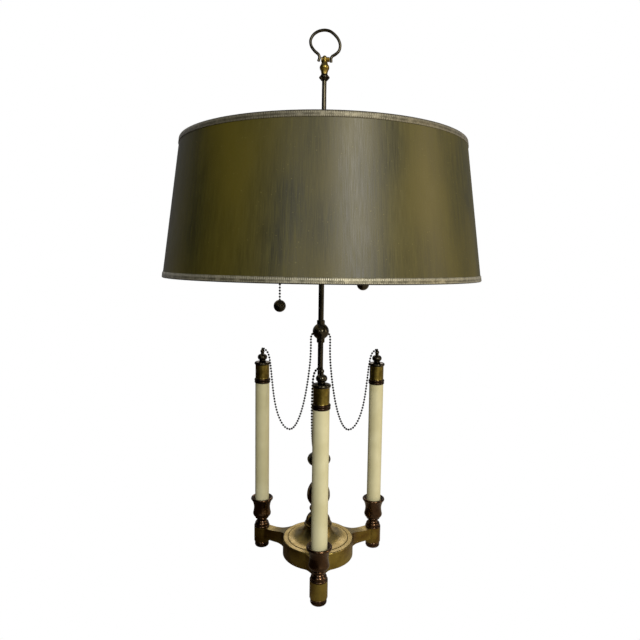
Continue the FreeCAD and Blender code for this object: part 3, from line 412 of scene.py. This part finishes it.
def round_the_drum(tree, place, height_share):
    """Distance round the drum from the front, and height times a share."""
    split = add_node(tree, "ShaderNodeSeparateXYZ", {}, {"Vector": place})
    back = add_node(tree, "ShaderNodeMath", {"operation": "MULTIPLY"}, {0: split.outputs["Y"], 1: -1.0})
    angle = add_node(tree, "ShaderNodeMath", {"operation": "ARCTAN2"}, {
        0: split.outputs["X"], 1: back.outputs["Value"]})
    along = add_node(tree, "ShaderNodeMath", {"operation": "MULTIPLY"}, {
        0: angle.outputs["Value"], 1: DRUM_RADIUS})
    height = add_node(tree, "ShaderNodeMath", {"operation": "MULTIPLY"}, {
        0: split.outputs["Z"], 1: height_share})
    joined = add_node(tree, "ShaderNodeCombineXYZ", {}, {
        "X": along.outputs["Value"], "Y": height.outputs["Value"]})
    return joined.outputs["Vector"]


def facing_the_axis(tree, place):
    """Give 1 where the surface faces the lamp's axis, and 0 where it faces out."""
    geometry = add_node(tree, "ShaderNodeNewGeometry")
    outwards = add_node(tree, "ShaderNodeVectorMath", {"operation": "MULTIPLY"}, {0: place, 1: (1, 1, 0)})
    lean = add_node(tree, "ShaderNodeVectorMath", {"operation": "DOT_PRODUCT"}, {
        0: geometry.outputs["Normal"], 1: outwards.outputs["Vector"]})
    inside = add_node(tree, "ShaderNodeMath", {"operation": "LESS_THAN"}, {0: lean.outputs["Value"], 1: 0.0})
    return inside.outputs["Value"]


material, tree, place = start_material("olive_glazed_card")
flow = round_the_drum(tree, place, STREAK_STRETCH)
slow_flow = round_the_drum(tree, place, PATCH_STRETCH)
fine = patches(tree, flow, STREAK_WIDTH, 0.25, 0.75, 5.0)
wide = patches(tree, flow, 5, 0.3, 0.7, 3.0)
broad = patches(tree, slow_flow, 95, 0.38, 0.64, 2.0)
flecks = patches(tree, round_the_drum(tree, place, 1.0), 2.5, 0.68, 0.76, 2.0)
streaks = add_node(tree, "ShaderNodeMix", {"data_type": "RGBA"}, {
    0: fine, 6: linear("#252307"), 7: linear("#4a4618")})
bands = add_node(tree, "ShaderNodeMix", {"data_type": "RGBA", "blend_type": "SOFT_LIGHT"}, {
    0: 0.3, 6: streaks.outputs[2], 7: wide})
split = add_node(tree, "ShaderNodeSeparateXYZ", {}, {"Vector": place})
at_seam = add_node(tree, "ShaderNodeMapRange", {}, {
    "Value": split.outputs["Y"], "From Min": EVEN_FROM * MM, "From Max": EVEN_TO * MM})
tone = add_node(tree, "ShaderNodeMix", {"data_type": "FLOAT"}, {
    0: at_seam.outputs["Result"], 2: broad, 3: 0.4})
glaze = add_node(tree, "ShaderNodeMix", {"data_type": "RGBA"}, {
    0: tone.outputs[0], 6: bands.outputs[2], 7: linear("#544c14")})
flecked = add_node(tree, "ShaderNodeMix", {"data_type": "RGBA"}, {
    0: flecks, 6: glaze.outputs[2], 7: linear("#6a6430")})
paint = add_node(tree, "ShaderNodeMix", {"data_type": "RGBA"}, {
    0: facing_the_axis(tree, place), 6: flecked.outputs[2], 7: linear("#e6e0cc")})
gloss = add_node(tree, "ShaderNodeMapRange", {}, {"Value": fine, "To Min": 0.36, "To Max": 0.5})
finish_material(tree, {
    "Base Color": paint.outputs[2], "Roughness": gloss.outputs["Result"], "IOR": 1.5},
    height=fine, depth_mm=0.02)
glazed_card = material
print(material.name)

# %% [markdown]
# ## Metallic braid
# Both rims are edged with a narrow braid of gold and silver thread. It is woven
# in rows two and a half millimetres high, whose threads lie a millimetre apart.
# Its fold round the very rim is painted near black, as painted shade. The upper
# braid has browned more, over the bulbs' heat. Both patterns are drawn on the
# distance round the drum and the height.

# %% Metallic braid
THREAD_PITCH_ROUND = 1.1
ROW_PITCH = 2.5
RIM_SHADE_BAND = 1.2
UPPER_AGE = 0.45
SHADE_BOTTOM = 446.4
SHADE_TOP = 635.5
SHADE_MIDDLE = (SHADE_BOTTOM + SHADE_TOP) / 2

material, tree, place = start_material("metallic_braid")
flow = round_the_drum(tree, place, 1.0)
ribs = add_node(tree, "ShaderNodeTexWave", {"bands_direction": "X"}, {
    "Vector": flow, "Scale": 1 / (THREAD_PITCH_ROUND * MM) / (2 * math.pi), "Distortion": 3.0, "Detail": 2.0,
    "Detail Scale": 2.0})
rows = add_node(tree, "ShaderNodeTexWave", {"bands_direction": "Y"}, {
    "Vector": flow, "Scale": 1 / (ROW_PITCH * MM) / (2 * math.pi), "Distortion": 0.6, "Detail": 1.0})
weave = add_node(tree, "ShaderNodeMath", {"operation": "MULTIPLY"}, {
    0: ribs.outputs["Fac"], 1: rows.outputs["Fac"]})
threads = add_node(tree, "ShaderNodeMix", {"data_type": "RGBA"}, {
    0: weave.outputs["Value"], 6: linear("#5c5844"), 7: linear("#bcb8a2")})
worn = add_node(tree, "ShaderNodeMix", {"data_type": "RGBA"}, {
    0: patches(tree, flow, 9, 0.45, 0.75, 4.0), 6: threads.outputs[2], 7: linear("#aba58c")})
split = add_node(tree, "ShaderNodeSeparateXYZ", {}, {"Vector": place})
from_middle = add_node(tree, "ShaderNodeMath", {"operation": "SUBTRACT"}, {
    0: split.outputs["Z"], 1: SHADE_MIDDLE * MM})
reach = add_node(tree, "ShaderNodeMath", {"operation": "ABSOLUTE"}, {0: from_middle.outputs["Value"]})
upper = add_node(tree, "ShaderNodeMapRange", {}, {
    "Value": from_middle.outputs["Value"], "From Min": -MM, "From Max": MM, "To Max": UPPER_AGE})
aged = add_node(tree, "ShaderNodeMix", {"data_type": "RGBA"}, {
    0: upper.outputs["Result"], 6: worn.outputs[2], 7: linear("#3d3524")})
half = (SHADE_TOP - SHADE_BOTTOM) / 2
# Painted shade: the fold round each rim, and the last few tenths of a millimetre above it, are painted near
# black.
painted_rim_shade = add_node(tree, "ShaderNodeMath", {"operation": "GREATER_THAN"}, {
    0: reach.outputs["Value"], 1: (half + 0.9 - RIM_SHADE_BAND) * MM})
bound = add_node(tree, "ShaderNodeMix", {"data_type": "RGBA"}, {
    0: painted_rim_shade.outputs["Value"], 6: aged.outputs[2], 7: linear("#14110b")})
finish_material(tree, {
    "Base Color": bound.outputs[2], "Metallic": 0.45, "Roughness": 0.42,
    "Sheen Weight": 0.2, "Sheen Roughness": 0.4},
    height=weave.outputs["Value"], depth_mm=0.15)
metallic_braid = material
print(material.name)

# %% [markdown]
# ## Dress the construction's parts
# Each part gets its finish by name. The three arms and the two sides repeat,
# so a name that begins alike takes the same finish.

# %% Assign the finishes
FINISHES = {
    "base_casting": cast_brass, "column_flare": cast_brass, "finial_baluster": cast_brass,
    "foot_ring": bronzed_brass, "candle_cup": bronzed_brass, "column_ring": bronzed_brass,
    "column_vase": bronzed_brass, "snuffer_finial": olive_bronze,
    "bell_cap": toned_brass, "column_neck": olive_bronze, "column_knop": olive_bronze,
    "stem_tube": olive_bronze, "chain_ball": olive_bronze, "upper_rod": olive_bronze,
    "cluster_body": olive_bronze, "pull_ball": olive_bronze, "finial_collar": olive_bronze,
    "finial_loop": olive_bronze,
    "snuffer_sleeve": spun_brass,
    "candle_front": ivory_enamel, "candle_right": ivory_enamel, "candle_left": ivory_enamel,
    "socket_nipple": socket_brass, "socket_cap": socket_brass, "socket_shell": socket_brass,
    "chain_guide": socket_brass, "shade_carrier": socket_brass, "clamp_screw": socket_brass,
    "shade_spider": socket_brass,
    "bulb_base": cap_aluminium, "bulb_glass": frosted_glass,
    "base_washer": plated_steel, "base_nut": plated_steel, "bottom_wire": plated_steel,
    "cord_bushing": dark_pvc, "shade_shell": glazed_card,
}
dressed = 0
for name, node in nodes.items():
    for beginning, finish in FINISHES.items():
        if name.startswith(beginning):
            node.data.materials.clear()
            node.data.materials.append(finish)
            dressed += 1
            break
print(dressed, "parts dressed")

# %% [markdown]
# ## Smooth routes for the chains
# A chain hangs in a smooth curve. The route's points are those of the
# construction, and a NURBS spline of order 3 runs smoothly inside them. The
# spline is read as points, and beads are set along it at even distances.

# %% Read points from a spline
SAMPLES_PER_POINT = 24


def follow(name, route):
    """Points in metres along the smooth spline of a route in millimetres."""
    curve = bpy.data.curves.new(name + "_route", "CURVE")
    curve.dimensions = "3D"
    curve.resolution_u = SAMPLES_PER_POINT
    spline = curve.splines.new("NURBS")
    spline.points.add(len(route) - 1)
    for point, at in zip(spline.points, route):
        point.co = (*(Vector(at) * MM), 1)
    spline.order_u = 3
    spline.use_endpoint_u = True
    holder = bpy.data.objects.new(name + "_route", curve)
    read = bpy.data.meshes.new_from_object(holder)
    points = [vertex.co.copy() for vertex in read.vertices]
    bpy.data.meshes.remove(read)
    bpy.data.objects.remove(holder)
    bpy.data.curves.remove(curve)
    return points


def length_of(points):
    return sum((after - before).length for before, after in zip(points, points[1:]))


def spaced(points, count):
    """Count points at even distances along a line of points, ends included."""
    step = length_of(points) / (count - 1)
    chosen = [points[0]]
    walked = 0.0
    for before, after in zip(points, points[1:]):
        piece = (after - before).length
        while len(chosen) < count - 1 and walked + piece >= step * len(chosen):
            chosen.append(before.lerp(after, (step * len(chosen) - walked) / piece))
        walked += piece
    return chosen + [points[-1]]


print("a metre in five points:", [round(p.x, 2) for p in spaced([Vector((0, 0, 0)), Vector((1, 0, 0))], 5)])

# %% [markdown]
# ## Bead chain
# Bead chain is made of hollow brass beads crimped round short wire pins. The
# real chain has 3.4 mm beads 4.45 mm apart. There are hundreds of beads, so
# each is a small ball of a few dozen faces, and a six-sided pin joins it to
# the next. The finish is a near black dip, a little worn on the beads.

# %% Bronzed chain finish
material, tree, place = start_material("bronzed_bead_chain")
colour = add_node(tree, "ShaderNodeMix", {"data_type": "RGBA"}, {
    0: patches(tree, place, 3, 0.4, 0.7), 6: linear("#080706"), 7: linear("#1b1812")})
finish_material(tree, {
    "Base Color": colour.outputs[2], "Metallic": 1.0, "Roughness": 0.3})
chain_bronze = material
print(material.name)

# %% String the beads
BEAD_RADIUS = 1.7 * MM
BEAD_PITCH = 4.45 * MM
PIN_RADIUS = 0.3 * MM


def new_piece(name, form, finish):
    """Turn a bmesh into a shown piece with smooth faces, a finish and a slot."""
    made = bpy.data.meshes.new(name)
    form.to_mesh(made)
    form.free()
    made.shade_smooth()
    made.materials.append(finish)
    piece = bpy.data.objects.new(name, made)
    scene.collection.objects.link(piece)
    return piece


def string_of_beads(name, points):
    """Beads and pins along a line of points, as one piece."""
    count = round(length_of(points) / BEAD_PITCH) + 1
    places = spaced(points, count)
    form = bmesh.new()
    for at in places:
        bmesh.ops.create_uvsphere(
            form, u_segments=8, v_segments=6, radius=BEAD_RADIUS, matrix=Matrix.Translation(at))
    for before, after in zip(places, places[1:]):
        along = (after - before).to_track_quat("Z", "Y").to_matrix().to_4x4()
        bmesh.ops.create_cone(
            form, cap_ends=False, segments=6, radius1=PIN_RADIUS, radius2=PIN_RADIUS,
            depth=(after - before).length, matrix=Matrix.Translation((before + after) / 2) @ along)
    print(name, "has", count, "beads on", round(length_of(points) / MM), "mm")
    return new_piece(name, form, chain_bronze)


# %% [markdown]
# ## The snuffer chains
# Each cap's chain hangs from an eye on the ball of the stem, nearly straight
# down, swings round in a narrow bight and climbs beside the candle to the
# cap's tip. The two side chains are alike, and the front one swings a little
# to the left.

# %% Hang the snuffer chains
SIDE_ROUTE = [
    (14.8, 360.0), (17.0, 359.2), (16.8, 341.0), (17.4, 321.0), (19.6, 301.0), (23.2, 277.0),
    (28.2, 252.0), (35.2, 229.0), (43.6, 212.0), (53.2, 204.0), (65.4, 208.0), (76.4, 225.0),
    (83.6, 250.0), (88.0, 283.0), (90.9, 307.0), (93.8, 320.5), (98.4, 327.8), (103.6, 329.8),
]
FRONT_ROUTE = [
    (0.0, -14.8, 360.0), (-0.1, -17.9, 358.9), (-0.6, -18.0, 338.0), (-1.6, -20.4, 310.0),
    (-3.0, -24.6, 276.0), (-4.6, -31.0, 241.0), (-6.6, -43.5, 214.0), (-8.6, -59.0, 205.5),
    (-10.2, -74.5, 213.0), (-11.7, -85.6, 235.0), (-12.3, -91.6, 265.0), (-12.2, -95.2, 296.0),
    (-11.2, -97.0, 317.0), (-7.6, -99.8, 327.2), (-2.4, -104.6, 329.8),
]
ARM_ANGLES = {"right": 30, "left": 150}


def in_arm_plane(angle, reach, height):
    """Point at a distance from the axis in an arm's upright plane."""
    turn = math.radians(angle)
    return (reach * math.cos(turn), reach * math.sin(turn), height)


snuffer_routes = {"front": FRONT_ROUTE}
for side, angle in ARM_ANGLES.items():
    snuffer_routes[side] = [in_arm_plane(angle, *point) for point in SIDE_ROUTE]
for side, route in snuffer_routes.items():
    line = follow("snuffer_" + side, route)
    chain = string_of_beads("beads_snuffer_" + side, line)
    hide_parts("snuffer_chain_" + side)
    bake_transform(chain)

# %% [markdown]
# ## The pull chains
# Each socket's switch has a short bead chain that hangs through its guide and
# ends in a turned ball. The chain moves with its ball when it is drawn.

# %% Hang the pull chains
PULL_REACH = 62.0
PULL_TOP = 489.5
PULL_BALL_TOPS = {"left": 412.2, "right": 446.2}
PULL_SIGNS = {"left": -1, "right": 1}
for side, low in PULL_BALL_TOPS.items():
    x = PULL_SIGNS[side] * PULL_REACH
    middle = (PULL_TOP + low) / 2
    line = follow("pull_" + side, [(x, 0, PULL_TOP), (x, 0, middle), (x, 0, low)])
    chain = string_of_beads("beads_pull_" + side, line)
    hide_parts("pull_chain_" + side)
    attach(chain, "pull_" + side)

# %% [markdown]
# ## The lead in the stem
# A round two-core lead enters through the bushing in the base's back wall,
# bends under the nut and rises through the stem to the sockets. It is a curve
# with a round bevel, so it stays one smooth line.

# %% Lay the lead
LEAD_RADIUS = 1.6
LEAD_ROUTE = [(0, 48.0, 24), (0, 36, 23.2), (0, 24, 20.4), (0, 10, 18.6), (0, 1.2, 19.6), (0, 0, 27),
              (0, 0, 484)]
curve = bpy.data.curves.new("lead_in_stem", "CURVE")
curve.dimensions = "3D"
curve.bevel_depth = LEAD_RADIUS * MM
curve.bevel_resolution = 3
curve.use_fill_caps = True
curve.resolution_u = SAMPLES_PER_POINT
spline = curve.splines.new("NURBS")
spline.points.add(len(LEAD_ROUTE) - 1)
for point, at in zip(spline.points, LEAD_ROUTE):
    point.co = (*(Vector(at) * MM), 1)
spline.order_u = 3
spline.use_endpoint_u = True
curve.materials.append(dark_pvc)
lead = bpy.data.objects.new("lead_in_stem", curve)
scene.collection.objects.link(lead)
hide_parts("supply_lead")
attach(lead, "root")
print("lead laid")

# %% [markdown]
# ## The braid on the rims
# The braid is folded over the card's edge. Its section is a U with rounded
# shoulders, which is spun round the axis in fine steps. The walls lean with
# the shade, so the section is drawn on distances from the wall.

# %% Spin the braid
SHADE_BOTTOM_RADIUS = 228.6
SHADE_TOP_RADIUS = 203.2
SHADE_WALL = 1.4
BRAID_HEIGHT = 7.0
BRAID_THICKNESS = 0.9
SPIN_STEPS = 240


def wall_radius(height, outwards):
    """Radius of the shade's outer face at a height, plus a distance."""
    share = (height - SHADE_BOTTOM) / (SHADE_TOP - SHADE_BOTTOM)
    return SHADE_BOTTOM_RADIUS + share * (SHADE_TOP_RADIUS - SHADE_BOTTOM_RADIUS) + outwards


def spin_section(section):
    """Spin a closed section of (radius, height) pairs in mm once round Z."""
    form = bmesh.new()
    corners = [form.verts.new(Vector((radius, 0, height)) * MM) for radius, height in section]
    edges = [form.edges.new(pair) for pair in zip(corners, corners[1:] + corners[:1])]
    bmesh.ops.spin(
        form, geom=corners + edges, cent=(0, 0, 0), axis=(0, 0, 1), angle=2 * math.pi,
        steps=SPIN_STEPS, use_merge=True, use_duplicate=False)
    bmesh.ops.remove_doubles(form, verts=form.verts, dist=0.01 * MM)
    bmesh.ops.recalc_face_normals(form, faces=form.faces)
    return form


def braid_section(edge, away):
    """Rounded U over a rim. Away is 1 above the lower rim and -1 below the upper."""
    outer = BRAID_THICKNESS
    inner = -SHADE_WALL - BRAID_THICKNESS
    profile = [
        (outer - 0.5, BRAID_HEIGHT), (outer, BRAID_HEIGHT - 0.5), (outer, 3.4), (outer, 0.5),
        (outer - 0.35, -0.45), (outer - 1.1, -BRAID_THICKNESS),
        (inner + 1.1, -BRAID_THICKNESS), (inner + 0.35, -0.45),
        (inner, 0.5), (inner, BRAID_HEIGHT - 0.5), (inner + 0.5, BRAID_HEIGHT),
        (-SHADE_WALL, BRAID_HEIGHT), (-SHADE_WALL, 0.0), (0.0, 0.0), (0.0, BRAID_HEIGHT),
    ]
    return [(wall_radius(edge + away * rise, out), edge + away * rise) for out, rise in profile]


for name, edge, away in (("bottom", SHADE_BOTTOM, 1), ("top", SHADE_TOP, -1)):
    braid = new_piece("braid_" + name, spin_section(braid_section(edge, away)), metallic_braid)
    braid.data.set_sharp_from_angle(angle=math.radians(50))
    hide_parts(name + "_trim")
    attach(braid, "shade")
    print(braid.name, len(braid.data.polygons), "faces")
